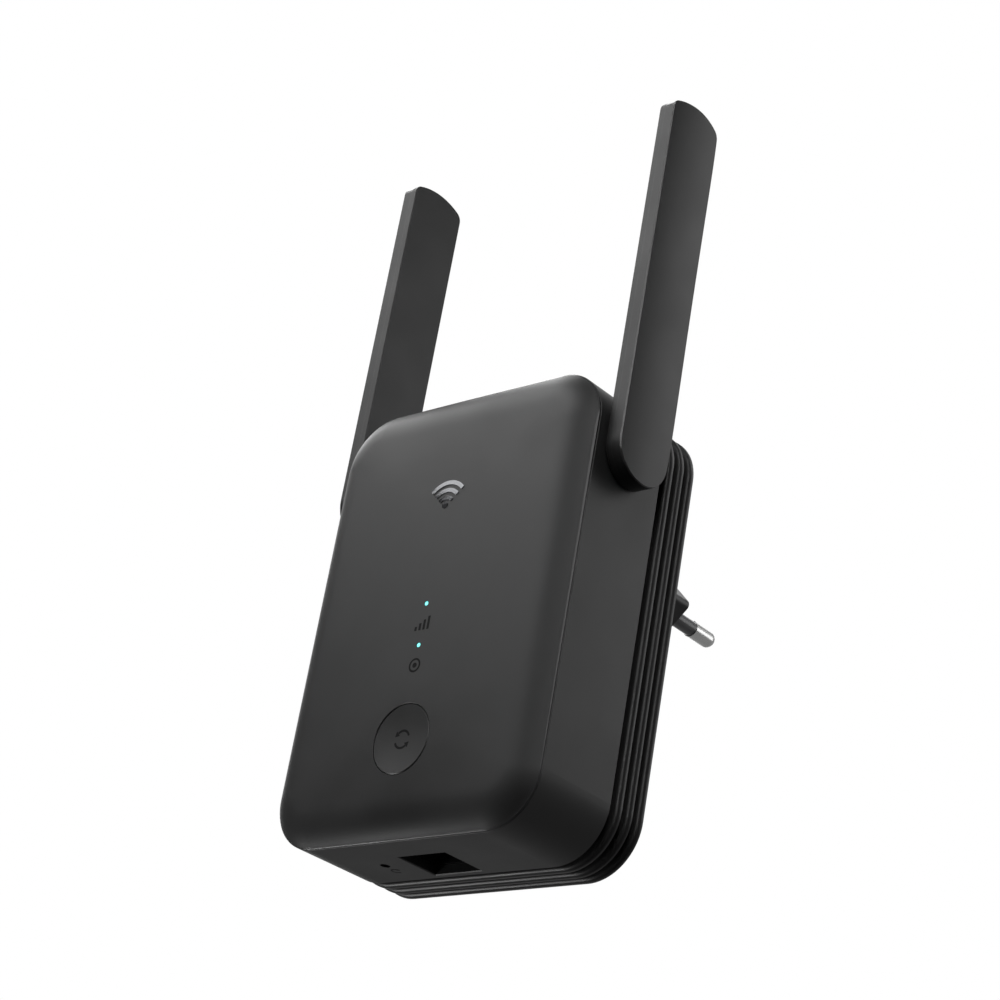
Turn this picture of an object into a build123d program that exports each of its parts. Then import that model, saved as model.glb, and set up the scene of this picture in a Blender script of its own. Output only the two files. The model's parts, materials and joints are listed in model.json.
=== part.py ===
from build123d import *
import os
from math import atan2, cos, degrees, pi, radians, sin, sqrt, tan

# Plug-in wifi range extender with two fold-down side antennas and a two-pin wall plug.
# Millimetres. +Y points into the wall, the front faces -Y, +Z is up. The origin is the
# centre of the plug's end face, midway between the pins.

# ---- driving dimensions --------------------------------------------------------------
body_width = 73.5
body_height = 102.3
corner_radius = 12.3
plug_reach = 28.3            # plug end face to the back plate's rear face
pin_height = 75.6            # pins above the body's underside
case_depth = 32.5            # back plate's rear face to the front rim
rim_band = 0.3               # where the front's curve starts, ahead of the rim
edge_roll = 2.8              # how far the front rolls forward near its edge
edge_roll_width = 8.0
edge_roll_power = 2.4
face_crown = 1.0             # gentle rise of the front across its whole width
crown_steps = (0.42, 0.9, 1.5, 2.2, 3, 3.9, 4.9, 6, 7.2, 8.6, 11, 14.5, 19, 25, 32)
seam_rounding = ((0, 0), (0, 0.24), (0.05, 0.40), (0.19, 0.52))   # inset and rise at the rim
smallest_crown_corner = 5.0
wall = 2.2
cover_thickness = 2.3
cover_side_wall = 4.5
skirt_gap = 0.1              # between the cover's inner skirt and the shell
skirt_thickness = 1.3
skirt_depth = 3.0
clear = 1.0                  # how far a cut runs past the face that it opens

back_plate = 1.7
groove_depth = 2.4
rib_bands = ((3.51, 5.09), (6.98, 8.64))   # distances ahead of the back plate's rear face
shell_start = 10.74
neck_wall = 1.8
neck_overlap = 3.0
edge_break = 0.2
rib_rounding = 1.1           # on the front edge of each rib

pin_spacing = 18.6
pin_tip_spacing = 17.6
pin_length = 19.0
pin_radius = 2.0
shank_radius = 1.5
sleeve_radius = 1.8
sleeve_length = 10.7
boss_width = 35.3
boss_height = 13.7
boss_end_rounding = 1.5
pedestal_height = 10.0
pedestal_base = (50.0, 36.0, 9.0)
pedestal_top = (46.0, 32.0, 8.0)
pedestal_wall = 2.0

button_radius = 7.7
button_gap = 0.15
button_bevel = 0.08
button_height = 20.77        # centre above the underside
button_dish = 0.4
button_travel = 0.6
light_heights = (51.2, 41.7)
light_hole_radius = 0.6
emblem_height = 76.6
emblem_proud = 0.12

port_x = (-7.1, 6.0)
port_depth = (12.48, 24.1)   # ahead of the back plate's rear face
reset_x = -14.45
reset_depth = 20.3
reset_hole_radius = 1.12
reset_travel = 0.3

pivot_height = 86.15
pivot_depth = 22.05
hub_radius = 3.5
hub_bore = 2.4
hub_clearance = 0.06
blade_gap = 0.35
blade_thickness = 4.65
blade_width = 16.1
blade_reach = 85.45          # pivot to the tip
tip_crown = 2.0
tip_corner = 2.4
blade_edge = 0.22
blade_crown = 0.6
blade_wall = 1.2
coax_radius = 0.565

board_thickness = 1.6
power_board_depth = 6.3      # ahead of the back plate's rear face
main_board_depth = 25.0

screw_radius = 0.9           # board screws
screw_slack = 0.15
board_boss_radius = 2.5
case_screw_radius = 1.25
case_screw_length = 20.8
screw_post_radius = 6.0      # posts in the shell that the case screws bite into
screw_guide_radius = 3.2     # matching guides in the rear cover
counterbore_radius = 2.8
counterbore_depth = 1.2
power_post_radius = 2.4
head_radius = 1.9
head_height = 1.2
bearing_wall = 2.0           # round the antenna's hub
bearing_depth = 3.0

# ---- places that follow from them -----------------------------------------------------
half_width = body_width / 2
back_y = -plug_reach
rim_y = back_y - case_depth
front_y = rim_y - rim_band - edge_roll - face_crown
bottom_z = -pin_height
top_z = bottom_z + body_height
mid_z = (bottom_z + top_z) / 2
shell_back_y = back_y - shell_start
neck_front_y = shell_back_y - neck_overlap
cover_inner_y = front_y + cover_thickness
pin_tilt = degrees(atan2((pin_spacing - pin_tip_spacing) / 2, pin_length))
pivot_y = back_y - pivot_depth
pivot_z = bottom_z + pivot_height
blade_inner_x = half_width + blade_gap
blade_outer_x = blade_inner_x + blade_thickness
power_rear_y = back_y - power_board_depth
power_front_y = power_rear_y - board_thickness
main_rear_y = back_y - main_board_depth
main_front_y = main_rear_y - board_thickness
port_rear_y = back_y - port_depth[0]
port_front_y = back_y - port_depth[1]
port_centre_x = (port_x[0] + port_x[1]) / 2
reset_y = back_y - reset_depth
button_z = bottom_z + button_height
light_z = [bottom_z + height for height in light_heights]
post_x = 28.0
post_z = [mid_z - 42.1, mid_z + 42.1]

os.makedirs("parts", exist_ok=True)


# ---- helpers --------------------------------------------------------------------------
def save(name, shape):
    export_step(shape, f"parts/{name}.step")


def facing(y, x=0.0, z=mid_z):
    """The plane parallel to the wall at depth y: local x is +X, local y is +Z, up is -Y."""
    return Plane(origin=(x, y, z), x_dir=(1, 0, 0), z_dir=(0, -1, 0))


def plate(sketch, y_back, y_front, x=0.0, z=mid_z):
    return extrude(facing(y_back, x, z) * sketch, y_back - y_front)


def outline(inset):
    return RectangleRounded(
        body_width - 2 * inset, body_height - 2 * inset, corner_radius - inset
    )


def block(x, y, z):
    """A box from its (low, high) spans along X, Y and Z."""
    centre = [sum(span) / 2 for span in (x, y, z)]
    return Pos(*centre) * Box(*[abs(span[1] - span[0]) for span in (x, y, z)])


def rod_y(x, z, radius, y_back, y_front):
    return plate(Circle(radius), y_back, y_front, x, z)


def rod_x(y, z, radius, x_low, x_high):
    plane = Plane(origin=(x_low, y, z), x_dir=(0, 1, 0), z_dir=(1, 0, 0))
    return extrude(plane * Circle(radius), x_high - x_low)


def rod_z(x, y, radius, z_low, z_high):
    return Pos(x, y, (z_low + z_high) / 2) * Cylinder(radius, abs(z_high - z_low))


def chip(x, z, width, height, y_board, rise):
    """A component of the given height on a board's face at y_board."""
    return block(
        (x - width / 2, x + width / 2),
        (y_board, y_board + rise),
        (z - height / 2, z + height / 2),
    )


def bend_radii(points, share=0.45):
    """The largest tangent arc at each corner of a cable's route."""
    radii = []
    for before, here, after in zip(points, points[1:], points[2:]):
        run_in = Vector(*here) - Vector(*before)
        run_out = Vector(*after) - Vector(*here)
        turn = radians(run_in.get_angle(run_out))
        radii.append(share * min(run_in.length, run_out.length) / tan(turn / 2))
    return radii


def cable(points, radius, radii=None):
    """A round cable along straight runs joined by tangent arcs."""
    radii = radii or bend_radii(points)
    path = FilletPolyline(*points, radius=radii)
    start = Plane(origin=points[0], z_dir=path % 0)
    return sweep(start * Circle(radius), path=path)


def both_sides(name, right_part):
    """Saves a right-hand piece and its mirror image."""
    save(name.format("right"), right_part)
    save(name.format("left"), mirror(right_part, Plane.YZ))


# ---- front cover ----------------------------------------------------------------------
def crown_height(inset):
    """Rise of the front above the rim band, at a distance inwards from its edge."""
    near_edge = max(0.0, 1 - inset / edge_roll_width)
    across = 1 - inset / half_width
    return edge_roll * (1 - near_edge**edge_roll_power) + face_crown * (1 - across**3)


def front_cover(emblem):
    profile = list(seam_rounding)
    profile += [(inset, rim_band + crown_height(inset)) for inset in crown_steps]
    sections = []
    for inset, rise in profile:
        radius = max(corner_radius - inset, smallest_crown_corner * (1 - inset / body_width))
        shape = RectangleRounded(body_width - 2 * inset, body_height - 2 * inset, radius)
        sections.append(facing(rim_y - rise) * shape)
    cover = loft(sections, ruled=True)
    cover -= plate(outline(cover_side_wall), rim_y + clear, cover_inner_y)
    skirt_inset = wall + skirt_gap
    skirt = plate(outline(skirt_inset), rim_y + skirt_depth, rim_y - 0.5)
    cover += skirt - plate(outline(skirt_inset + skirt_thickness), rim_y + 4, rim_y - clear)
    for x, z in board_bosses:
        cover += rod_y(x, z, board_boss_radius, main_front_y, cover_inner_y - 0.5)
        cover -= rod_y(x, z, screw_radius, main_front_y + clear, cover_inner_y - 0.2)
    hole_radius = button_radius + button_gap
    cover -= rod_y(0, button_z, hole_radius, rim_y, front_y - clear)
    mouth_y = front_y + button_bevel
    bevel = Cone(hole_radius, hole_radius + 2 * button_bevel, 2 * button_bevel)
    cover -= facing(mouth_y, 0, button_z) * bevel
    for z in light_z:
        cover -= rod_y(0, z, light_hole_radius, rim_y, front_y - clear)
    return cover - emblem


def emblem_symbol():
    """Three radio-wave arcs over a dot, as four inlaid solids."""
    stroke = 0.95
    dot_radius = 0.75
    reach = 12.0
    fan_slope = 0.95
    base_z = bottom_z + emblem_height - 3.1
    y_back = front_y + 0.5
    y_front = front_y - emblem_proud
    pieces = [rod_y(0, base_z + 0.7, dot_radius, y_back, y_front)]
    fan = Polygon(
        (0, 0), (reach, reach * fan_slope), (reach, 2 * reach),
        (-reach, 2 * reach), (-reach, reach * fan_slope), align=None,
    )
    for radius in (2.45, 4.25, 6.05):
        ring = Circle(radius + stroke / 2) - Circle(radius - stroke / 2)
        pieces.append(plate(ring & fan, y_back, y_front, 0, base_z))
    return Compound(pieces)


# ---- main shell and rear cover ----------------------------------------------------------
def main_shell():
    shell = plate(outline(0), shell_back_y, rim_y)
    shell = chamfer(shell.faces().filter_by(Axis.Y).edges(), edge_break)
    shell -= plate(outline(wall), shell_back_y + clear, rim_y - clear)
    post_back_y = neck_front_y - 0.2
    post_front_y = rim_y + skirt_depth + 0.3
    inside = plate(outline(wall - 0.5), post_back_y, post_front_y)
    for x in (-post_x, post_x):
        for z in post_z:
            shell += rod_y(x, z, screw_post_radius, post_back_y, post_front_y) & inside
            shell -= rod_y(x, z, case_screw_radius, neck_front_y, rim_y + 6)
    for side in (-1, 1):
        inner_face = side * (half_width - wall - bearing_depth)
        low, high = sorted((inner_face, side * (half_width - 1)))
        shell += rod_x(pivot_y, pivot_z, hub_radius + bearing_wall, low, high)
        low, high = sorted((inner_face - 8 * side, inner_face))
        shell -= rod_x(pivot_y, pivot_z, hub_radius + bearing_wall + 0.3, low, high)
        low, high = sorted((inner_face - side, side * (half_width + clear)))
        shell -= rod_x(pivot_y, pivot_z, hub_radius + hub_clearance, low, high)
    through_floor = (bottom_z - clear, bottom_z + 5)
    shell -= block(port_x, (port_front_y, port_rear_y), through_floor)
    mouth = shell.edges().filter_by_position(Axis.Z, bottom_z - 0.01, bottom_z + 0.01)
    mouth = mouth.sort_by_distance((port_centre_x, (port_front_y + port_rear_y) / 2, bottom_z))[:4]
    shell = chamfer(mouth, edge_break)
    return shell - rod_z(reset_x, reset_y, reset_hole_radius, *through_floor)


def rib(near, far):
    """A full-width plate with a rounded front edge and a crisp rear edge."""
    shape = plate(outline(0), back_y - near, back_y - far)
    shape = fillet(shape.faces().sort_by(Axis.Y)[0].edges(), rib_rounding)
    return chamfer(shape.faces().sort_by(Axis.Y)[-1].edges(), edge_break * 0.8)


def rear_cover():
    cover = rib(0, back_plate)
    neck_inset = groove_depth + neck_wall
    for near, far in rib_bands:
        cover += rib(near, far)
    cover += plate(outline(groove_depth), back_y - 1, neck_front_y)
    cover -= plate(outline(neck_inset), back_y - back_plate, neck_front_y - clear)
    for x in (-post_x, post_x):
        for z in post_z:
            cover += rod_y(x, z, screw_guide_radius, back_y - 1, neck_front_y)
            cover -= rod_y(x, z, case_screw_radius + 0.2, back_y + clear, neck_front_y - clear)
            cover -= rod_y(x, z, counterbore_radius, back_y + clear, back_y - counterbore_depth)
    for x, z in power_posts:
        cover += rod_y(x, z, power_post_radius, back_y - 1, power_rear_y)
        cover -= rod_y(x, z, screw_radius, back_y - 2, power_rear_y - clear)
    cover += pedestal(0.0, back_y - 0.5)
    cover -= pedestal(pedestal_wall, back_y - back_plate - clear)
    cover -= plate(hexagon(0.15), back_y + pedestal_height + clear, back_y, 0, 0)
    jack_room = jack_width / 2 + 0.7
    cover -= block(
        (port_centre_x - jack_room, port_centre_x + jack_room),
        (neck_front_y - clear, shell_back_y - 0.45),
        (bottom_z, bottom_z + 16),
    )
    return cover - vent_slots()


def pedestal(inset, y_base):
    """The raised block that carries the plug, tapering away from the back plate."""
    top_y = back_y + pedestal_height - inset
    shapes = []
    for y, size in ((y_base, pedestal_base), (top_y, pedestal_top)):
        width, height, radius = size
        shape = RectangleRounded(width - 2 * inset, height - 2 * inset, radius - inset)
        shapes.append(facing(y, 0, 0) * shape)
    return loft(shapes)


def vent_slots():
    """Slots through the floors of the three grooves, on all four sides."""
    slot_length = 5.0
    pitch = 8.0
    side_margin = 0.3
    groove_edges = (back_plate, *rib_bands[0], *rib_bands[1], shell_start)
    slots = []
    for near, far in zip(groove_edges[0::2], groove_edges[1::2]):
        y = (back_y - far + side_margin, back_y - near - side_margin)
        for step in range(-4, 5):
            z = mid_z + step * pitch
            span = (z - slot_length / 2, z + slot_length / 2)
            slots.append(block((-half_width, half_width), y, span))
        for step in range(-2, 3):
            x = step * pitch
            span = (x - slot_length / 2, x + slot_length / 2)
            slots.append(block(span, y, (bottom_z, top_z)))
    keep_clear = block(
        (6 - half_width, half_width - 6), (back_y - 20, back_y), (bottom_z + 6, top_z - 6)
    )
    return Compound(slots) - keep_clear


# ---- plug -------------------------------------------------------------------------------
def hexagon(margin):
    """The plug's long hexagon: two flats joined by 45 degree facets."""
    half_long = boss_width / 2 + margin
    half_high = boss_height / 2 + margin
    flat = half_long - half_high
    return make_face(
        Polyline(
            (flat, half_high), (half_long, 0), (flat, -half_high),
            (-flat, -half_high), (-half_long, 0), (-flat, half_high), close=True,
        )
    )


def plug_insert():
    pedestal_inner_y = back_y + pedestal_height - pedestal_wall
    boss = plate(hexagon(0), 0, pedestal_inner_y, 0, 0)
    boss = fillet(boss.edges().filter_by(Axis.Y).group_by(Axis.X)[0], boss_end_rounding)
    boss = fillet(boss.edges().filter_by(Axis.Y).group_by(Axis.X)[-1], boss_end_rounding)
    boss = chamfer(boss.faces().sort_by(Axis.Y)[-1].edges(), 0.5)
    flange = RectangleRounded(boss_width + 4, boss_height + 6, 3)
    boss += plate(flange, pedestal_inner_y, pedestal_inner_y - 2, 0, 0)
    for side in (-1, 1):
        bore = pin_place(side) * rod_y(0, 0, shank_radius, 1, -40)
        seat = pin_place(side) * rod_y(0, 0, sleeve_radius + 0.12, 1, -1)
        boss = boss - bore - seat
    for x in ((-5.5, 5.5), (-13.6, -12.2), (12.2, 13.6)):
        boss -= block(x, (pedestal_inner_y - 3, -3), (-3.2, 3.2))
    return boss


def pin_place(side):
    return Pos(side * pin_spacing / 2, 0, 0) * Rot(0, 0, side * pin_tilt)


def plug_pin(side):
    inner_y = back_y - 2.7
    shank = rod_y(0, 0, shank_radius, sleeve_length, inner_y)
    tip = rod_y(0, 0, pin_radius, pin_length, sleeve_length)
    tip = fillet(tip.faces().sort_by(Axis.Y)[-1].edges(), pin_radius - 0.05)
    return pin_place(side) * (shank + tip)


def pin_sleeve(side):
    tube = rod_y(0, 0, sleeve_radius, sleeve_length, -0.95)
    return pin_place(side) * (tube - rod_y(0, 0, shank_radius, sleeve_length + 1, -2))


# ---- button, lights and switches ----------------------------------------------------------
def button_cap():
    rim = front_y + 0.06
    cap = rod_y(0, button_z, button_radius, cover_inner_y + 1.4, rim)
    cap = chamfer(cap.faces().sort_by(Axis.Y)[0].edges(), 0.2)
    cap += rod_y(0, button_z, button_radius + 0.95, cover_inner_y + 1.4, cover_inner_y + 0.15)
    cap += rod_y(0, button_z, 2.0, switch_cap_y, cover_inner_y + 1)
    sphere_radius = (button_radius**2 + button_dish**2) / (2 * button_dish)
    dish = Pos(0, rim + button_dish - sphere_radius, button_z) * Sphere(sphere_radius)
    return cap - dish


switch_height = 3.4
switch_cap_y = main_front_y - switch_height - 0.95
switch_bore_y = main_front_y - 0.9
plunger_radius = 1.7
reset_plunger_radius = 0.9
plunger_slack = 0.08


def pairing_switch():
    body = chip(0, button_z, 6.0, 6.0, main_front_y, -switch_height)
    body = chamfer(body.edges().filter_by(Axis.Y), 0.5)
    bore_radius = plunger_radius + plunger_slack
    return body - rod_y(0, button_z, bore_radius, switch_bore_y, main_front_y - 5)


def pairing_plunger():
    return rod_y(0, button_z, plunger_radius, switch_bore_y - button_travel - 0.2, switch_cap_y + 0.05)


def light_guide():
    bar = block(
        (-1.3, 1.3), (main_front_y - 5.6, main_front_y - 4.4), (light_z[1] - 1.5, light_z[0] + 1.5)
    )
    for z in light_z:
        bar += rod_y(0, z, light_hole_radius - 0.05, main_front_y - 4.5, front_y + 0.08)
        bar += rod_y(0, z, 1.1, main_front_y - 0.8, main_front_y - 4.5)
    return bar


def reset_switch():
    body = block(
        (reset_x - 2.5, reset_x + 2.5), (main_rear_y, reset_y + 2.3), (bottom_z + 6.0, bottom_z + 10.6)
    )
    body = chamfer(body.edges().filter_by(Axis.Z), 0.4)
    bore_radius = reset_plunger_radius + plunger_slack
    return body - rod_z(reset_x, reset_y, bore_radius, bottom_z + 5, bottom_z + 7.6)


def reset_plunger():
    return rod_z(reset_x, reset_y, reset_plunger_radius, bottom_z + 3.9, bottom_z + 7.2)


# ---- network jack ---------------------------------------------------------------------------
jack_width = 16.0
jack_low_z = bottom_z + wall + 0.1
jack_high_z = jack_low_z + 19.0
jack_x = (port_centre_x - jack_width / 2, port_centre_x + jack_width / 2)
jack_rear_y = port_rear_y + 0.75
cavity_half = 5.95
cavity_height = 14.5
cavity_rear_y = port_rear_y - 0.4
cavity_front_y = cavity_rear_y - 8.4
latch_front_y = port_front_y + 0.2


def ethernet_jack():
    body = block(jack_x, (main_rear_y, jack_rear_y), (jack_low_z, jack_high_z))
    body = chamfer(body.faces().sort_by(Axis.Z)[-1].edges(), 0.4)
    latch_half = 3.2
    shoulder_half = 4.6
    bays = (
        (cavity_half, (cavity_front_y, cavity_rear_y)),
        (shoulder_half, (cavity_front_y - 0.9, cavity_front_y + clear)),
        (latch_half, (latch_front_y, cavity_front_y + clear)),
    )
    for half, depth in bays:
        across = (port_centre_x - half, port_centre_x + half)
        body -= block(across, depth, (jack_low_z - clear, jack_low_z + cavity_height))
    return body


def jack_contacts():
    """Eight sprung wires that slope from the mouth to the back of the cavity."""
    contact_pitch = 1.02
    contact_count = 8
    wires = []
    for index in range(contact_count):
        x = port_centre_x + (index - (contact_count - 1) / 2) * contact_pitch
        place = Pos(x, cavity_rear_y - 0.62, jack_low_z + 8.4) * Rot(4.5, 0, 0)
        wires.append(place * Box(0.4, 0.28, 11.0))
    return Compound(wires)


# ---- boards and what stands on them -----------------------------------------------------------
board_bosses = ((-18.5, top_z - 10.5), (18.5, top_z - 10.5), (-24.0, -44.0), (24.0, -44.0))
power_posts = ((-25.0, 4.0), (25.0, -28.0))
socket_x = 20.0
socket_z = -4.2
link_x = (13.0, 23.0)
link_z = -40.0
shield_z = -3.0
shield_height = 2.0
tin_thickness = 0.3
pad_height = 0.6
sink_width = 26
fin_count = 7
fin_pitch = 4.0
transformer_x = 2
transformer_z = -20


def main_board():
    board = block((-30, 30), (main_front_y, main_rear_y), (bottom_z + 3.6, top_z - 4.7))
    for side in (-1, 1):
        for z in post_z:
            board -= rod_y(side * post_x, z, 6.8, back_y, rim_y)
        board -= block(
            sorted((side * 27.5, side * 31)), (rim_y, back_y), (pivot_z - 6.5, pivot_z + 6.5)
        )
    for x, z in board_bosses:
        board -= rod_y(x, z, screw_radius + screw_slack, back_y, rim_y)
    return board - link_pins()


def power_board():
    board = block((-29, 29), (power_front_y, power_rear_y), (-45.5, top_z - 6.5))
    for side in (-1, 1):
        board -= rod_y(side * post_x, post_z[1], 3.9, back_y, rim_y)
    for x, z in power_posts:
        board -= rod_y(x, z, screw_radius + screw_slack, back_y, rim_y)
    return board - link_pins()


def pan_screw(x, z, seat_y, tip_y, shank, head, head_height):
    """A pan-head screw driven towards the front, with a cross recess in its head."""
    screw = rod_y(x, z, head, seat_y + head_height, seat_y)
    screw = fillet(screw.faces().sort_by(Axis.Y)[-1].edges(), head_height * 0.45)
    screw += rod_y(x, z, shank, seat_y, tip_y)
    for width, height in ((head * 1.1, 0.45), (0.45, head * 1.1)):
        screw -= chip(x, z, width, height, seat_y + head_height * 0.45, head_height)
    return screw


def case_screws():
    screws = []
    for x in (-post_x, post_x):
        for z in post_z:
            seat_y = back_y - counterbore_depth
            tip_y = seat_y - case_screw_length
            screws.append(pan_screw(x, z, seat_y, tip_y, case_screw_radius, 2.6, 1.1))
    return Compound(screws)


def board_screws():
    screws = []
    for x, z in board_bosses:
        tip_y = cover_inner_y + 1.2
        screws.append(pan_screw(x, z, main_rear_y, tip_y, screw_radius, head_radius, head_height))
    for x, z in power_posts:
        turned = pan_screw(x, z, 0, -5.2, screw_radius, head_radius, head_height)
        screws.append(Pos(0, power_front_y, 0) * mirror(turned, Plane.XZ))
    return Compound(screws)


def heatsink():
    base_y = main_front_y - shield_height - pad_height
    sink = chip(0, shield_z, sink_width, sink_width, base_y, -1.2)
    for index in range(fin_count):
        x = (index - (fin_count - 1) / 2) * fin_pitch
        sink += chip(x, shield_z, 1.0, sink_width, base_y - 1.0, -3.2)
    return sink


def shield_can(z, width, height):
    """A pressed tin can over a radio circuit, open towards the board."""
    can = chip(0, z, width, height, main_front_y, -shield_height)
    can = chamfer(can.faces().sort_by(Axis.Y)[0].edges(), 0.4)
    hollow = 2 * tin_thickness
    return can - chip(0, z, width - hollow, height - hollow, main_front_y + clear, tin_thickness - 3)


def transformer_core():
    core = chip(transformer_x, transformer_z, 17, 16, power_front_y, -12.0)
    return core - chip(transformer_x, transformer_z, 17.4, 9.0, power_front_y - 2.5, -7.0)


def transformer_coil():
    coil = chip(transformer_x, transformer_z, 19, 8.6, power_front_y - 2.7, -6.6)
    return fillet(coil.edges().filter_by(Axis.X), 1.5)


def can_capacitor(x, z, radius, height):
    can = rod_y(x, z, radius, power_front_y, power_front_y - height)
    can = fillet(can.faces().sort_by(Axis.Y)[0].edges(), 0.6)
    groove = rod_y(x, z, radius + 1, power_front_y - 1.4, power_front_y - 2.0)
    return can - (groove - rod_y(x, z, radius - 0.35, power_front_y, power_front_y - 4))


def toroid_choke(x, z):
    choke = rod_y(x, z, 5.0, power_front_y - 0.3, power_front_y - 5.5)
    choke -= rod_y(x, z, 2.0, power_front_y + clear, power_front_y - 7)
    return fillet(choke.faces().filter_by(Axis.Y).edges(), 0.8)


def link_pins():
    pins = []
    pin_pitch = 2.5
    pin_side = 0.64
    overhang = 0.8
    length = power_rear_y - main_front_y + 2 * overhang
    for index in range(4):
        x = link_x[0] + pin_pitch * (index + 0.5)
        pins.append(chip(x, link_z, pin_side, pin_side, power_rear_y + overhang, -length))
    return Compound(pins)


def link_header():
    strips = []
    for y, rise in ((power_front_y, -2.5), (main_rear_y, 8.5)):
        strip = chip(sum(link_x) / 2, link_z, link_x[1] - link_x[0], 2.5, y, rise)
        strips.append(strip - link_pins())
    return Compound(strips)


def pin_contacts():
    """Sprung brass strips from the power board to the inner ends of the plug pins."""
    strips = []
    for side in (-1, 1):
        end = (pin_place(side) * Pos(0, back_y - 2.7, 0)).position
        foot = chip(end.X, 3.4, 3.0, 0.4, power_rear_y, 3.4)
        pad = block((end.X - 1.5, end.X + 1.5), (power_rear_y + 3.1, power_rear_y + 3.5), (-2, 3.6))
        strips.append(foot + pad)
    return Compound(strips)


def coax():
    route = (
        (blade_inner_x - 7.3, pivot_y, pivot_z),
        (socket_x + 4.0, pivot_y, pivot_z),
        (socket_x, pivot_y - 1.0, pivot_z - 5.5),
        (socket_x, pivot_y - 1.0, socket_z + 1.0),
    )
    print("coax radii", [round(r, 1) for r in bend_radii(route)])
    plug = rod_y(socket_x, socket_z, 1.6, pivot_y - 0.4, main_rear_y + 1.35)
    return cable(route, coax_radius) + plug


def antenna_sockets():
    rings = []
    for side in (-1, 1):
        base = chip(side * socket_x, socket_z, 2.6, 2.6, main_rear_y, 0.4)
        rings.append(base + rod_y(side * socket_x, socket_z, 1.0, main_rear_y + 1.3, main_rear_y))
    return Compound(rings)


# ---- antenna, right-hand side -------------------------------------------------------------------
def blade_profile(inset):
    """A long tongue: half-round about the pivot, straight sides and a crowned tip."""
    half = blade_width / 2 - inset
    shoulder = blade_reach - tip_crown - inset
    tip = blade_reach - inset
    face = make_face([
        Line((-half, 0), (-half, shoulder)),
        ThreePointArc((-half, shoulder), (0, tip), (half, shoulder)),
        Line((half, shoulder), (half, 0)),
        ThreePointArc((half, 0), (0, -half), (-half, 0)),
    ])
    return fillet(face.vertices().group_by(Axis.Y)[-1], tip_corner - inset)


def blade_slab(inset, x_low, x_high):
    plane = Plane(origin=(x_low, pivot_y, pivot_z), x_dir=(0, 1, 0), z_dir=(1, 0, 0))
    return extrude(plane * blade_profile(inset), x_high - x_low)


seam_x = blade_inner_x + 1.6
cavity_low_x = blade_inner_x + 1.0
cavity_high_x = blade_outer_x - blade_wall
radiator_x = cavity_low_x + 1.45
hub_end_x = half_width - wall - 4.6
clip_x = half_width - wall - 3.1


def antenna_outer():
    shell = blade_slab(0, seam_x, blade_outer_x)
    half = blade_width / 2
    crown_radius = (half**2 + blade_crown**2) / (2 * blade_crown)
    crown = Pos(blade_outer_x - crown_radius, pivot_y, pivot_z) * Cylinder(crown_radius, 400)
    shell = shell & crown
    shell = chamfer(shell.faces().sort_by(Axis.X)[-1].edges(), blade_edge)
    return shell - blade_slab(blade_wall, seam_x - 1, cavity_high_x)


def antenna_inner():
    shell = blade_slab(0, blade_inner_x, seam_x)
    shell = chamfer(shell.faces().sort_by(Axis.X)[0].edges(), 0.2)
    shell -= blade_slab(blade_wall, cavity_low_x, seam_x + 1)
    shell += rod_x(pivot_y, pivot_z, hub_radius + 2.0, half_width + 0.1, cavity_low_x)
    shell += rod_x(pivot_y, pivot_z, hub_radius, hub_end_x, cavity_low_x)
    groove = rod_x(pivot_y, pivot_z, hub_radius + 1, clip_x - 0.7, clip_x)
    shell -= groove - rod_x(pivot_y, pivot_z, hub_radius - 0.45, clip_x - 1, clip_x + 1)
    return shell - rod_x(pivot_y, pivot_z, hub_bore, hub_end_x - 1, cavity_low_x + 1)


def antenna_clip():
    """A C-shaped spring clip in the hub's groove, which holds the hub in its bearing."""
    ring = rod_x(pivot_y, pivot_z, hub_radius + 1.7, clip_x - 0.65, clip_x - 0.05)
    ring -= rod_x(pivot_y, pivot_z, hub_radius - 0.4, clip_x - 2, clip_x + 2)
    mouth = block((clip_x - 2, clip_x + 2), (pivot_y - 2.3, pivot_y + 2.3), (pivot_z - 10, pivot_z))
    return ring - mouth


def antenna_radiator():
    board = block((radiator_x, radiator_x + 0.6), (pivot_y - 5, pivot_y + 5), (pivot_z + 11, pivot_z + 76))
    for step in range(3):
        z = pivot_z + 34 + step * 14
        board -= block((radiator_x - 1, radiator_x + 2), (pivot_y - 1, pivot_y + 6), (z, z + 1.2))
    return board


def antenna_coax():
    centre_x = cavity_low_x + coax_radius + 0.25
    route = (
        (blade_inner_x - 7.2, pivot_y, pivot_z),
        (centre_x, pivot_y, pivot_z),
        (centre_x, pivot_y, pivot_z + 16),
    )
    return cable(route, coax_radius, [3.4])


# ---- every piece ------------------------------------------------------------------------------------
emblem = emblem_symbol()
save("front_emblem", emblem)
save("front_cover", front_cover(emblem))
save("main_shell", main_shell())
save("rear_cover", rear_cover())
save("rating_label", plate(RectangleRounded(44, 27, 2), back_y + 0.15, back_y, 0, bottom_z + 29))
save("case_screws", case_screws())

save("plug_insert", plug_insert())
for side, word in ((-1, "left"), (1, "right")):
    save(f"plug_pin_{word}", plug_pin(side))
    save(f"pin_sleeve_{word}", pin_sleeve(side))
save("pin_contacts", pin_contacts())

save("button_cap", button_cap())
save("pairing_switch", pairing_switch())
save("pairing_plunger", pairing_plunger())
save("reset_switch", reset_switch())
save("reset_plunger", reset_plunger())
save("light_guide", light_guide())
save("status_lights", Compound([chip(0, z, 1.6, 0.8, main_front_y, -0.6) for z in light_z]))

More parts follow.
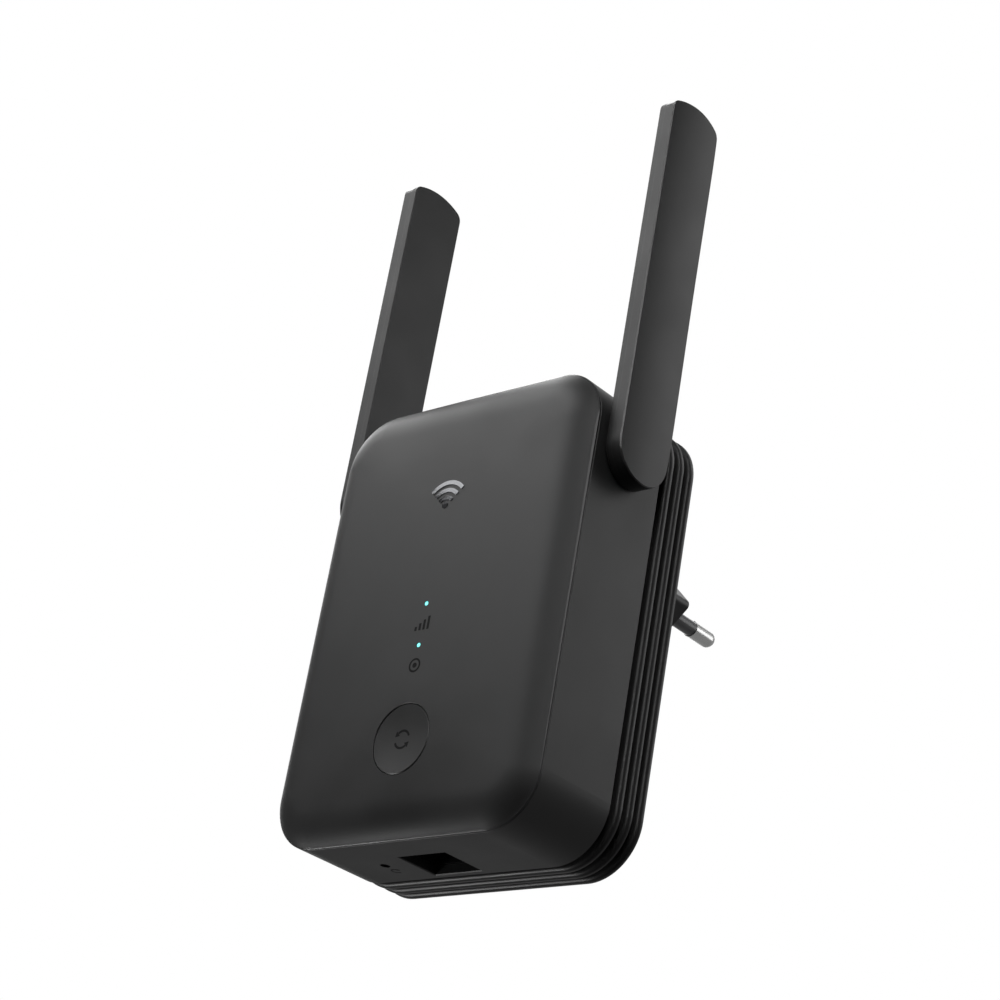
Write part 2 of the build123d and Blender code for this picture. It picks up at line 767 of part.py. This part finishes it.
save("main_board", main_board())
save("board_screws", board_screws())
save("soc_shield", shield_can(shield_z, 22, 22))
save("thermal_pad", chip(0, shield_z, 20, 20, main_front_y - shield_height, -pad_height))
save("heatsink", heatsink())
save("radio_shield", shield_can(top_z - 13.0, 24, 10))
save("flash_chip", chip(19, -22, 5.3, 6.0, main_front_y, -1.6))
save("crystal", chip(17, -12, 3.2, 2.5, main_front_y, -0.8))
save("ethernet_jack", ethernet_jack())
save("jack_contacts", jack_contacts())
save("lan_transformer", chip(port_centre_x, -47.5, 12.6, 7.0, main_rear_y, 2.6))
save("antenna_sockets", antenna_sockets())
both_sides("coax_{}", coax())
save("insulation_sheet", block((-12, 12), (back_y - 21.2, back_y - 21.0), (-44, top_z - 6)))
save("link_header", link_header())
save("link_pins", link_pins())

save("power_board", power_board())
save("mains_fuse", can_capacitor(9.5, 11, 3.2, 8.0))
save("bridge_rectifier", chip(-3, 1.5, 8.4, 6.4, power_front_y, -2.6))
save("input_capacitors", Compound([can_capacitor(-16, z, 4.0, 11.5) for z in (10.0, -1.0)]))
save("filter_choke", toroid_choke(-3, 12))
save("transformer_core", transformer_core())
save("transformer_coil", transformer_coil())
save("output_capacitors", Compound([can_capacitor(x, -37, 4.0, 11.0) for x in (-8.0, 2.0)]))
save("optocoupler", chip(-18, -30, 4.6, 6.6, power_front_y, -3.4))
save("suppression_capacitor", chip(18.5, -8, 5.0, 10.0, power_front_y, -8.0))

both_sides("antenna_{}_outer", antenna_outer())
both_sides("antenna_{}_inner", antenna_inner())
both_sides("antenna_{}_clip", antenna_clip())
both_sides("antenna_{}_radiator", antenna_radiator())
both_sides("antenna_{}_coax", antenna_coax())
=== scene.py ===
import json
import math

import bmesh
import bpy
from mathutils import Matrix, Vector

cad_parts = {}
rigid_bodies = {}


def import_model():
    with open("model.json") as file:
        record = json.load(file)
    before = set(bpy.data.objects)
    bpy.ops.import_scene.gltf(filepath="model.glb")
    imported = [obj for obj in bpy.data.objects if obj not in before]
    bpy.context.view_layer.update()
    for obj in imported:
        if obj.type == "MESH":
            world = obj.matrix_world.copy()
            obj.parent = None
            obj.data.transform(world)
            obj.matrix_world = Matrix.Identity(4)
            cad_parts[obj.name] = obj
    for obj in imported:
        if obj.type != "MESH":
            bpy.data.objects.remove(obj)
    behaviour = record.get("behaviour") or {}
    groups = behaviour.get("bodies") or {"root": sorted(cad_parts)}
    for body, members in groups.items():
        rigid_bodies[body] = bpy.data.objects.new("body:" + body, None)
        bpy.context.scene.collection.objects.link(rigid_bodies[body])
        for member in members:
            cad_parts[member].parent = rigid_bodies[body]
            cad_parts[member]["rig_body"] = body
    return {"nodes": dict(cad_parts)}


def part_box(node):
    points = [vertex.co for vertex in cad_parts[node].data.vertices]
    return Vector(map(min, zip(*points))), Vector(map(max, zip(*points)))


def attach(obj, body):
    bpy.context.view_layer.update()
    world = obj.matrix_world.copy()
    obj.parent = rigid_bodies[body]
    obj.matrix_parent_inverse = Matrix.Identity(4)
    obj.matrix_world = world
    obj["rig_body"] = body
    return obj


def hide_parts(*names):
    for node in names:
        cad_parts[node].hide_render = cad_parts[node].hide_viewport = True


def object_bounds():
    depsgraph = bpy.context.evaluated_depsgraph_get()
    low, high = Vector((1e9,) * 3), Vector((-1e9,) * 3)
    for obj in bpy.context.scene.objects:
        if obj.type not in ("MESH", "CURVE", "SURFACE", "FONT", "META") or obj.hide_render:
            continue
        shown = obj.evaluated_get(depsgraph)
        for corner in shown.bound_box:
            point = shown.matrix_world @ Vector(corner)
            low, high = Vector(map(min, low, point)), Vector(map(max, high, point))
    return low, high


# A plug-in wifi range extender. Metres; +Y points into the wall, the front faces -Y.
# In order: materials, pieces that stand for CAD nodes, printed icons, stage and camera.
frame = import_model()
cad_low, cad_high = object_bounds()
nodes = frame["nodes"]
MM = 0.001


# ---- node helpers ---------------------------------------------------------------------
def set_range(node, start, end, low, high):
    """Makes a Map Range node take start..end to low..high."""
    names = ("From Min", "From Max", "To Min", "To Max")
    for name, number in zip(names, (start, end, low, high)):
        node.inputs[name].default_value = number


def scaled(colour, factor):
    return tuple(channel * factor for channel in colour)


class Shader:
    """A material under construction, in object coordinates (metres)."""

    def __init__(self, name):
        self.material = bpy.data.materials.new(name)
        self.material.use_nodes = True
        self.tree = self.material.node_tree
        self.surface = self.tree.nodes["Principled BSDF"]
        self.place = self.add("ShaderNodeTexCoord").outputs["Object"]

    def add(self, kind, **settings):
        node = self.tree.nodes.new(kind)
        for key, value in settings.items():
            setattr(node, key, value)
        return node

    def link(self, source, target):
        self.tree.links.new(source, target)

    def noise(self, size, detail=3.0, roughness=0.55, stretch=(1, 1, 1)):
        """Noise whose features are about size metres across."""
        mapping = self.add("ShaderNodeMapping")
        mapping.inputs["Scale"].default_value = stretch
        self.link(self.place, mapping.inputs["Vector"])
        noise = self.add("ShaderNodeTexNoise")
        noise.inputs["Scale"].default_value = 1.0 / size
        noise.inputs["Detail"].default_value = detail
        noise.inputs["Roughness"].default_value = roughness
        self.link(mapping.outputs["Vector"], noise.inputs["Vector"])
        return noise.outputs["Fac"]

    def span(self, value, low, high, start=0.3, end=0.7):
        """Maps value from start..end to low..high."""
        node = self.add("ShaderNodeMapRange")
        set_range(node, start, end, low, high)
        self.link(value, node.inputs["Value"])
        return node.outputs["Result"]

    def mix(self, factor, first, second):
        node = self.add("ShaderNodeMix", data_type="RGBA")
        self.link(factor, node.inputs["Factor"])
        for socket, colour in ((node.inputs["A"], first), (node.inputs["B"], second)):
            if isinstance(colour, tuple):
                socket.default_value = (*colour, 1.0)
            else:
                self.link(colour, socket)
        return node.outputs["Result"]

    def maths(self, operation, first, second):
        node = self.add("ShaderNodeMath", operation=operation, use_clamp=True)
        for socket, value in zip(node.inputs, (first, second)):
            if isinstance(value, (int, float)):
                socket.default_value = value
            else:
                self.link(value, socket)
        return node.outputs["Value"]

    def edges(self, radius):
        """1 along sharp edges, fading to 0 about radius metres away; the cosine does the fading."""
        bevel = self.add("ShaderNodeBevel", samples=4)
        bevel.inputs["Radius"].default_value = radius
        plain = self.add("ShaderNodeNewGeometry")
        dot = self.add("ShaderNodeVectorMath", operation="DOT_PRODUCT")
        self.link(bevel.outputs["Normal"], dot.inputs[0])
        self.link(plain.outputs["Normal"], dot.inputs[1])
        return self.span(dot.outputs["Value"], 1.0, 0.0, 0.80, 0.995)

    def bump(self, height, distance, strength=1.0):
        node = self.add("ShaderNodeBump")
        node.inputs["Distance"].default_value = distance
        node.inputs["Strength"].default_value = strength
        self.link(height, node.inputs["Height"])
        self.link(node.outputs["Normal"], self.surface.inputs["Normal"])

    def set(self, **values):
        for key, value in values.items():
            socket = self.surface.inputs[key.replace("_", " ")]
            socket.default_value = (*value, 1.0) if isinstance(value, tuple) else value
        return self


BLOTCH_SIZE = 18 * MM
SCUFF_SIZE = 1.2 * MM
WORN_AND_HIGHLIGHT_RADIUS = 0.35 * MM
ROUGHNESS_DRIFT = 0.035
WORN_POLISH = 0.12


def moulded(name, colour, roughness, grain=0.00022, depth=0.000012, wear_and_highlight=0.5):
    """Spark-textured injection moulding: fine grain, faint blotches, and edges painted lighter,
    partly as worn plastic and partly as a painted highlight.
    """
    shader = Shader(name)
    blotch = shader.noise(BLOTCH_SIZE, detail=2)
    darker, lighter = scaled(colour, 0.86), scaled(colour, 1.16)
    body = shader.mix(shader.span(blotch, 0.0, 1.0), darker, lighter)
    # Edge breaks are painted up to 2.6 times lighter: partly worn plastic, partly a painted
    # highlight where edges catch the light.
    rubbed_and_highlight = tuple(min(1.0, channel * 2.6 + 0.01) for channel in colour)
    scuff = shader.span(shader.noise(SCUFF_SIZE, detail=4), 0.25, 1.0, 0.35, 0.65)
    edge = shader.maths("MULTIPLY", shader.edges(WORN_AND_HIGHLIGHT_RADIUS), scuff)
    edge = shader.maths("MULTIPLY", edge, wear_and_highlight)
    shader.link(shader.mix(edge, body, rubbed_and_highlight), shader.surface.inputs["Base Color"])
    texture = shader.noise(grain, detail=2, roughness=0.6)
    rough = shader.span(blotch, roughness - ROUGHNESS_DRIFT, roughness + ROUGHNESS_DRIFT)
    polish = shader.maths("MULTIPLY", edge, WORN_POLISH)
    rough = shader.maths("SUBTRACT", rough, polish)
    shader.link(rough, shader.surface.inputs["Roughness"])
    shader.bump(texture, depth)
    return shader


def metal(name, colour, roughness, scratch=0.0006, stretch=(1, 1, 1), depth=0.000002):
    """Plated or rolled metal with fine directional marks."""
    shader = Shader(name)
    marks = shader.noise(scratch, detail=4, stretch=stretch)
    tone = shader.mix(shader.span(marks, 0.0, 1.0), scaled(colour, 0.78), colour)
    shader.link(tone, shader.surface.inputs["Base Color"])
    shader.link(shader.span(marks, roughness, roughness * 1.7), shader.surface.inputs["Roughness"])
    shader.bump(marks, depth)
    return shader.set(Metallic=1.0)


# ---- materials ------------------------------------------------------------------------
CASE = (0.0302, 0.0302, 0.0305)
REAR = (0.0312, 0.0312, 0.0315)
BLADE = (0.0205, 0.0205, 0.0208)
# Edge-break finishes are glossier and also painted lighter than their faces, a painted highlight.
EDGE_HIGHLIGHT_GAIN = 2.2  # how much lighter an edge break is than the face beside it

finishes = {
    "case_plastic": moulded("case_plastic", CASE, 0.47),
    "button_plastic": moulded("button_plastic", CASE, 0.43),
    "antenna_plastic": moulded("antenna_plastic", BLADE, 0.47, grain=0.00018),
    "rear_plastic": moulded("rear_plastic", REAR, 0.38),
    "case_edge_highlight": moulded("case_edge_highlight", scaled(CASE, EDGE_HIGHLIGHT_GAIN), 0.20, depth=0.000002),
    "blade_edge_highlight": moulded("blade_edge_highlight", scaled(BLADE, EDGE_HIGHLIGHT_GAIN), 0.20, depth=0.000002),
    "sleeve_plastic": moulded("sleeve_plastic", (0.16, 0.16, 0.165), 0.22, depth=0.000002),
    "jack_plastic": moulded("jack_plastic", (0.010, 0.010, 0.011), 0.38, depth=0.000004),
    "header_plastic": moulded("header_plastic", (0.015, 0.015, 0.016), 0.45),
    "chip_epoxy": moulded("chip_epoxy", (0.016, 0.016, 0.017), 0.55),
    "ferrite": moulded("ferrite", (0.030, 0.030, 0.033), 0.62, grain=0.0004, depth=0.00002),
    "fuse_plastic": moulded("fuse_plastic", (0.16, 0.035, 0.028), 0.42),
    "switch_plunger": moulded("switch_plunger", (0.02, 0.02, 0.02), 0.45),
    "coax_jacket": moulded("coax_jacket", (0.025, 0.025, 0.026), 0.35, depth=0.000003),
    "thermal_rubber": moulded("thermal_rubber", (0.16, 0.22, 0.32), 0.75, grain=0.0005),
    "winding_tape": moulded("winding_tape", (0.62, 0.42, 0.05), 0.25, depth=0.000004),
    "film_capacitor": moulded("film_capacitor", (0.55, 0.33, 0.04), 0.22, depth=0.000004),
    "capacitor_sleeve": moulded("capacitor_sleeve", (0.02, 0.03, 0.08), 0.25, depth=0.000003),
    "insulation_film": moulded("insulation_film", (0.42, 0.40, 0.32), 0.3, depth=0.000003),
    "led_body": moulded("led_body", (0.8, 0.72, 0.4), 0.2, depth=0.000002),
    "board_green": moulded("board_green", (0.014, 0.11, 0.045), 0.30, grain=0.0009, depth=0.00002),
    "label_film": moulded("label_film", (0.045, 0.045, 0.048), 0.34, grain=0.0004, depth=0.000003),
    "emblem_chrome": metal("emblem_chrome", (0.16, 0.162, 0.168), 0.035),
    "pin_nickel": metal("pin_nickel", (0.86, 0.86, 0.855), 0.19, stretch=(1, 0.08, 1)),
    "contact_brass": metal("contact_brass", (0.83, 0.60, 0.24), 0.22),
    "screw_steel": metal("screw_steel", (0.55, 0.55, 0.56), 0.30),
    "shield_tin": metal("shield_tin", (0.66, 0.66, 0.66), 0.28),
    "heatsink_aluminium": metal(
        "heatsink_aluminium", (0.62, 0.63, 0.65), 0.32, stretch=(1, 1, 0.1)),
    "switch_metal": metal("switch_metal", (0.6, 0.6, 0.6), 0.3),
}


GLOW_CORE = 0.30 * MM
GLOW_EDGE = 0.52 * MM


def glowing(name, colour, strength, axes):
    """Light pipes lit from behind: bright along each axis (x, z), dark and tinted at the rim."""
    shader = Shader(name)
    parts = shader.add("ShaderNodeSeparateXYZ")
    shader.link(shader.place, parts.inputs["Vector"])
    nearest = None
    for x, z in axes:
        flat = shader.add("ShaderNodeCombineXYZ")
        shader.link(parts.outputs["X"], flat.inputs["X"])
        shader.link(parts.outputs["Z"], flat.inputs["Z"])
        away = shader.add("ShaderNodeVectorMath", operation="DISTANCE")
        away.inputs[1].default_value = (x, 0.0, z)
        shader.link(flat.outputs["Vector"], away.inputs[0])
        if nearest is None:
            nearest = away.outputs["Value"]
        else:
            nearest = shader.maths("MINIMUM", nearest, away.outputs["Value"])
    core = shader.span(nearest, 1.0, 0.0, GLOW_CORE, GLOW_EDGE)
    cloud = shader.span(shader.noise(0.0004, detail=2), 0.8, 1.0)
    tone = shader.mix(shader.maths("MULTIPLY", core, cloud), scaled(colour, 0.10), colour)
    shader.link(tone, shader.surface.inputs["Emission Color"])
    shader.link(tone, shader.surface.inputs["Base Color"])
    return shader.set(Emission_Strength=strength, Roughness=0.18)


# Each of the guide's two pipes stands in front of one of the lamps on the board.
LAMP_HALF_HEIGHT = 0.4 * MM
lamps_low, lamps_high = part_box("status_lights")
upper_light_z = lamps_high.z - LAMP_HALF_HEIGHT
lower_light_z = lamps_low.z + LAMP_HALF_HEIGHT
finishes["light_guide_clear"] = glowing(
    "light_guide_clear", (0.22, 0.95, 0.92), 1.8, [(0.0, upper_light_z), (0.0, lower_light_z)])

# The CAD's materials are placeholders that carry the finishes' names.
for node in nodes.values():
    for index, held in enumerate(node.data.materials):
        name = held.name.split(".")[0]
        node.data.materials[index] = finishes[name].material


# ---- pieces that stand for CAD nodes ----------------------------------------------------
CHAMFER_WIDTH = 0.32 * MM
SQUARE_ON = 0.985  # a normal this close to an axis belongs to a plain face, not an edge break
RIM_START = 0.3 * MM
RIM_END = 0.62 * MM
RIM_LEAST_TILT = 0.1
seam_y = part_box("main_shell")[0].y


def is_chamfer(face):
    """A narrow sloping face."""
    longest = max(edge.calc_length() for edge in face.edges)
    squareness = max(abs(axis) for axis in face.normal)
    return face.calc_area() / longest < CHAMFER_WIDTH and squareness < SQUARE_ON


def is_cover_rim(face):
    """Part of the small rounding just ahead of the seam between front cover and shell."""
    ahead = seam_y - face.calc_center_median().y
    return RIM_START < ahead < RIM_END and RIM_LEAST_TILT < abs(face.normal.y) < SQUARE_ON


def stand_in(node_name, takes_painted_highlight, edge_highlight_finish, sharp_degrees=28):
    """A welded, evenly shaded copy of a CAD node; the faces the test picks take the given edge
    finish, glossier and painted lighter as a highlight.
    """
    source = nodes[node_name]
    mesh = source.data.copy()
    mesh.name = node_name + "_skin"
    work = bmesh.new()
    work.from_mesh(mesh)
    bmesh.ops.remove_doubles(work, verts=work.verts, dist=1e-6)
    bmesh.ops.dissolve_degenerate(work, edges=work.edges, dist=1e-7)
    for face in work.faces:
        face.smooth = True
        # Picked faces get the second slot: an edge finish painted lighter as a highlight.
        face.material_index = 1 if takes_painted_highlight(face) else 0
    for edge in work.edges:
        sharp = len(edge.link_faces) != 2 or edge.calc_face_angle(0.0) > math.radians(sharp_degrees)
        edge.smooth = not sharp
    work.to_mesh(mesh)
    work.free()
    if "custom_normal" in mesh.attributes:
        mesh.attributes.remove(mesh.attributes["custom_normal"])
    mesh.materials.append(finishes[edge_highlight_finish].material)
    piece = bpy.data.objects.new(node_name + "_skin", mesh)
    bpy.context.scene.collection.objects.link(piece)
    weighted = piece.modifiers.new("even_shading", "WEIGHTED_NORMAL")
    weighted.keep_sharp = True
    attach(piece, source["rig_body"])
    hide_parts(node_name)
    return piece


# The cover's seam rounding and the blades' chamfers are painted lighter as highlights.
cover = stand_in("front_cover", is_cover_rim, "case_edge_highlight")
for side in ("left", "right"):
    blade = stand_in("antenna_" + side + "_outer", is_chamfer, "blade_edge_highlight")


# ---- printed icons ------------------------------------------------------------------------
INK_THICKNESS = 0.02 * MM
RAY_START = 5 * MM
TIP_HALF_WIDTH = 0.7  # of an arrow tip, as a share of its length
TIP_GAP = 1  # degrees between an arc and the arrow tip at its end


def bar(x, z, width, height):
    """Corner points of an upright rectangle, as (x, z) in millimetres."""
    left, right = x - width / 2, x + width / 2
    low, high = z - height / 2, z + height / 2
    return [(left, low), (right, low), (right, high), (left, high)]


def arc_band(radius, stroke, start, end, steps=28):
    """Quads along an arc of the given stroke width; angles in degrees."""
    quads = []
    for index in range(steps):
        corners = []
        for turn, edge in ((index, -1), (index, 1), (index + 1, 1), (index + 1, -1)):
            angle = math.radians(start + (end - start) * turn / steps)
            reach = radius + edge * stroke / 2
            corners.append((reach * math.cos(angle), reach * math.sin(angle)))
        quads.append(corners)
    return quads


def arrow_tip(radius, angle, size):
    """A triangle that points along the circle from the given angle."""
    spot = math.radians(angle)
    out = Vector((math.cos(spot), math.sin(spot)))
    along = Vector((-math.sin(spot), math.cos(spot)))
    centre = out * radius
    wing = out * size * TIP_HALF_WIDTH
    return [tuple(centre + along * size), tuple(centre + wing), tuple(centre - wing)]


def arrow_arc(radius, stroke, start, end, tip_size):
    """An arc that ends in an arrow tip."""
    return arc_band(radius, stroke, start, end) + [arrow_tip(radius, end + TIP_GAP, tip_size)]


def signal_icon():
    """Four bars on one base line, each taller than the last."""
    heights = (0.9, 1.6, 2.3, 3.0)
    step, width = 1.15, 0.62
    left = -step * (len(heights) - 1) / 2
    return [
        bar(left + step * place, (height - heights[-1]) / 2, width, height)
        for place, height in enumerate(heights)
    ]


def system_icon():
    """A ring round a dot."""
    return arc_band(1.4, 0.42, 0, 360) + arc_band(0.3, 0.6, 0, 360, 12)


def pairing_icon():
    """Two arrows that chase each other round a circle."""
    return [shape for start in (20, 200) for shape in arrow_arc(1.9, 0.5, start, start + 112, 1.05)]


def reset_icon():
    """One arrow that turns most of the way round."""
    return arrow_arc(1.0, 0.32, 60, 320, 0.7)


def surface_under(start, direction):
    """The first point of the visible model that a ray meets."""
    graph = bpy.context.evaluated_depsgraph_get()
    found, place = bpy.context.scene.ray_cast(graph, start, direction)[:2]
    return place if found else None


def print_icon(name, polygons, centre, axes, body, slot):
    """Ink on the surface that lies beyond centre; axes are the icon's right, its up and inwards."""
    centre = Vector(centre)
    across, up, towards = (Vector(axis) for axis in axes)
    work = bmesh.new()
    for polygon in polygons:
        work.faces.new([work.verts.new((x * MM, z * MM, 0.0)) for x, z in polygon])
    bmesh.ops.remove_doubles(work, verts=work.verts, dist=1e-6)
    tops = list(work.faces)
    borders = [edge for edge in work.edges if edge.is_boundary]
    below = {vert: work.verts.new(vert.co) for vert in list(work.verts)}
    for face in tops:
        work.faces.new([below[vert] for vert in reversed(face.verts)])
    for edge in borders:
        first, second = edge.verts
        work.faces.new((first, second, below[second], below[first]))
    seat = surface_under(centre, towards)
    for vert, low in below.items():
        spot = surface_under(centre + across * vert.co.x + up * vert.co.y, towards) or seat
        vert.co = spot - towards * INK_THICKNESS
        low.co = spot + towards * INK_THICKNESS
    bmesh.ops.recalc_face_normals(work, faces=work.faces)
    mesh = bpy.data.meshes.new(name)
    work.to_mesh(mesh)
    work.free()
    mesh.materials.append(ink)
    piece = bpy.data.objects.new(name, mesh)
    bpy.context.scene.collection.objects.link(piece)
    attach(piece, body)


ink = moulded("icon_ink", (0.003, 0.003, 0.0032), 0.62, depth=0.000002, wear_and_highlight=0.0)
ink = ink.set(Specular_IOR_Level=0.18).material
LIGHT_TO_ICON = 4.6 * MM
RESET_TO_ICON = 3.4 * MM
X_AXIS, Y_AXIS, Z_AXIS = (1, 0, 0), (0, 1, 0), (0, 0, 1)
FRONT = (X_AXIS, Z_AXIS, Y_AXIS)
UNDERSIDE = (X_AXIS, Y_AXIS, Z_AXIS)

plunger_low, plunger_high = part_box("pairing_plunger")
button_z = (plunger_low.z + plunger_high.z) / 2
reset_low, reset_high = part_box("reset_plunger")
reset_middle = (reset_low + reset_high) / 2
front_y = cad_low.y - RAY_START
under_z = cad_low.z - RAY_START

# Icons: name, shape, place, axes, body, slot.
for icon in (
    ("signal_icon", signal_icon(), (0, front_y, upper_light_z - LIGHT_TO_ICON),
     FRONT, "housing", "case_plastic"),
    ("system_icon", system_icon(), (0, front_y, lower_light_z - LIGHT_TO_ICON),
     FRONT, "housing", "case_plastic"),
    ("pairing_icon", pairing_icon(), (0, front_y, button_z),
     FRONT, "pairing_button", "button_plastic"),
    ("reset_icon", reset_icon(), (reset_middle.x, reset_middle.y + RESET_TO_ICON, under_z),
     UNDERSIDE, "housing", "case_plastic"),
):
    print_icon(*icon)


# ---- stage, light and camera --------------------------------------------------------------
CAMERA_PLACE = Vector((0.3601, -0.4076, -0.2245))
CAMERA_AIM = Vector((-0.64459, 0.64218, 0.41486))
CAMERA_ROLL = 10.25  # degrees
CAMERA_LENS = 91.71  # millimetres
FLOOR_WIDTH = 6.0
FLOOR_DROP = 0.32

# Each row brightens the room along one axis: axis, from, to, strength at from and at to.
ROOM = (
    ("Y", 0.30, 0.85, 0.02, 0.34),
    ("X", -0.8, 0.1, 0.08, 0.0),
    ("Z", 0.2, 0.9, 0.0, 0.10),
)
MIDDLE = (0.0, -0.045, -0.02)
SOFTBOX_SIZE = (0.60, 0.35)
SOFTBOX_DISTANCE = 0.58
SOFTBOX_SHIFT = 0.10


def area_light(name, place, aim, size, brightness):
    """A rectangular panel of even brightness (its radiance), facing aim."""
    data = bpy.data.lights.new(name, "AREA")
    data.shape = "RECTANGLE"
    data.size, data.size_y = size
    data.energy = brightness * math.pi * size[0] * size[1]
    lamp = bpy.data.objects.new(name, data)
    bpy.context.scene.collection.objects.link(lamp)
    lamp.visible_camera = False
    lamp.location = place
    lamp.rotation_euler = (Vector(aim) - Vector(place)).to_track_quat("-Z", "Y").to_euler()


def studio_world():
    """White to the camera; to the object a room with a bright back wall and a dark front."""
    world = bpy.data.worlds.new("studio")
    bpy.context.scene.world = world
    world.use_nodes = True
    tree = world.node_tree
    tree.nodes.clear()
    out = tree.nodes.new("ShaderNodeOutputWorld")
    seen = tree.nodes.new("ShaderNodeBackground")
    seen.inputs["Color"].default_value = (1.0, 1.0, 1.0, 1.0)
    room = tree.nodes.new("ShaderNodeBackground")
    place = tree.nodes.new("ShaderNodeTexCoord")
    axes = tree.nodes.new("ShaderNodeSeparateXYZ")
    tree.links.new(place.outputs["Generated"], axes.inputs["Vector"])
    light = None
    for axis, start, end, low, high in ROOM:
        ramp = tree.nodes.new("ShaderNodeMapRange")
        ramp.interpolation_type = "SMOOTHSTEP"
        set_range(ramp, start, end, low, high)
        tree.links.new(axes.outputs[axis], ramp.inputs["Value"])
        if light is None:
            light = ramp.outputs["Result"]
            continue
        total = tree.nodes.new("ShaderNodeMath")
        tree.links.new(light, total.inputs[0])
        tree.links.new(ramp.outputs["Result"], total.inputs[1])
        light = total.outputs["Value"]
    tree.links.new(light, room.inputs["Strength"])
    path = tree.nodes.new("ShaderNodeLightPath")
    choose = tree.nodes.new("ShaderNodeMixShader")
    tree.links.new(path.outputs["Is Camera Ray"], choose.inputs["Fac"])
    tree.links.new(room.outputs["Background"], choose.inputs[1])
    tree.links.new(seen.outputs["Background"], choose.inputs[2])
    tree.links.new(choose.outputs["Shader"], out.inputs["Surface"])


def pale_floor():
    """A pale floor well below the object, seen from above only and mirrored in nothing."""
    half = FLOOR_WIDTH / 2
    level = cad_low.z - FLOOR_DROP
    mesh = bpy.data.meshes.new("floor")
    corners = [
        (-half, -half, level), (half, -half, level), (half, half, level), (-half, half, level),
    ]
    mesh.from_pydata(corners, [], [(0, 1, 2, 3)])
    floor = bpy.data.objects.new("floor", mesh)
    bpy.context.scene.collection.objects.link(floor)
    floor.visible_diffuse = False
    floor.visible_glossy = False
    shader = Shader("floor_paint")
    tone = shader.mix(shader.span(shader.noise(0.4), 0.0, 1.0), (0.86, 0.86, 0.86), (0.9, 0.9, 0.9))
    shader.link(tone, shader.surface.inputs["Base Color"])
    shader.link(tone, shader.surface.inputs["Emission Color"])
    shader.set(Roughness=0.8, Emission_Strength=0.75)
    facing = shader.add("ShaderNodeNewGeometry")
    clear = shader.add("ShaderNodeBsdfTransparent")
    choose = shader.add("ShaderNodeMixShader")
    shader.link(facing.outputs["Backfacing"], choose.inputs["Fac"])
    shader.link(shader.surface.outputs["BSDF"], choose.inputs[1])
    shader.link(clear.outputs["BSDF"], choose.inputs[2])
    shader.link(choose.outputs["Shader"], shader.tree.nodes["Material Output"].inputs["Surface"])
    mesh.materials.append(shader.material)


def softbox_place(distance, width_shift, height):
    """A panel's centre and aim, so that the emblem mirrors its lower edge across its middle."""
    low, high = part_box("front_emblem")
    seat = Vector(((low.x + high.x) / 2, low.y, (low.z + high.z) / 2))
    ray = (seat - CAMERA_PLACE).normalized()
    bounce = ray.reflect(Vector((0, -1, 0)))
    across = Vector(Z_AXIS).cross(bounce).normalized()
    upright = bounce.cross(across).normalized()
    centre = seat + bounce * distance + across * width_shift + upright * height / 2
    return centre, centre - bounce * distance


def photo_camera():
    """The viewing angle: from the front right and below, rolled a little."""
    forward = CAMERA_AIM.normalized()
    roll = math.radians(CAMERA_ROLL)
    level = forward.cross(Vector(Z_AXIS)).normalized()
    upright = level.cross(forward)
    right = level * math.cos(roll) + upright * math.sin(roll)
    up = upright * math.cos(roll) - level * math.sin(roll)
    data = bpy.data.cameras.new("camera")
    data.sensor_width = 36.0
    data.lens = CAMERA_LENS
    data.clip_start = 0.01
    camera = bpy.data.objects.new("camera", data)
    bpy.context.scene.collection.objects.link(camera)
    turn = Matrix((right, up, -forward)).transposed().to_4x4()
    camera.matrix_world = Matrix.Translation(CAMERA_PLACE) @ turn
    bpy.context.scene.camera = camera


softbox_centre, softbox_aim = softbox_place(SOFTBOX_DISTANCE, SOFTBOX_SHIFT, SOFTBOX_SIZE[1])

# Panels: name, place, aim, size, brightness.
PANELS = (
    ("softbox", softbox_centre, softbox_aim, SOFTBOX_SIZE, 2.9),
    ("backdrop", (-0.60, 0.55, 0.37), MIDDLE, (1.0, 1.0), 1.0),
    ("front_fill", (0.23, -0.52, 0.22), MIDDLE, (0.34, 0.20), 1.6),
    ("top_left", (-0.40, 0.02, 0.44), MIDDLE, (0.35, 0.40), 3.0),
    ("rear_panel", (0.150, 0.120, 0.10), (0.037, -0.038, -0.01), (0.10, 0.25), 1.5),
    ("rim_strip", (0.352, -0.388, 0.33), (0.04, -0.06, 0.02), (0.045, 0.75), 7.0),
    ("low_left", (-0.34, -0.17, -0.38), MIDDLE, (0.16, 0.16), 9.0),
)

studio_world()
pale_floor()
photo_camera()
for panel in PANELS:
    area_light(*panel)
bpy.context.scene.view_settings.view_transform = "Standard"
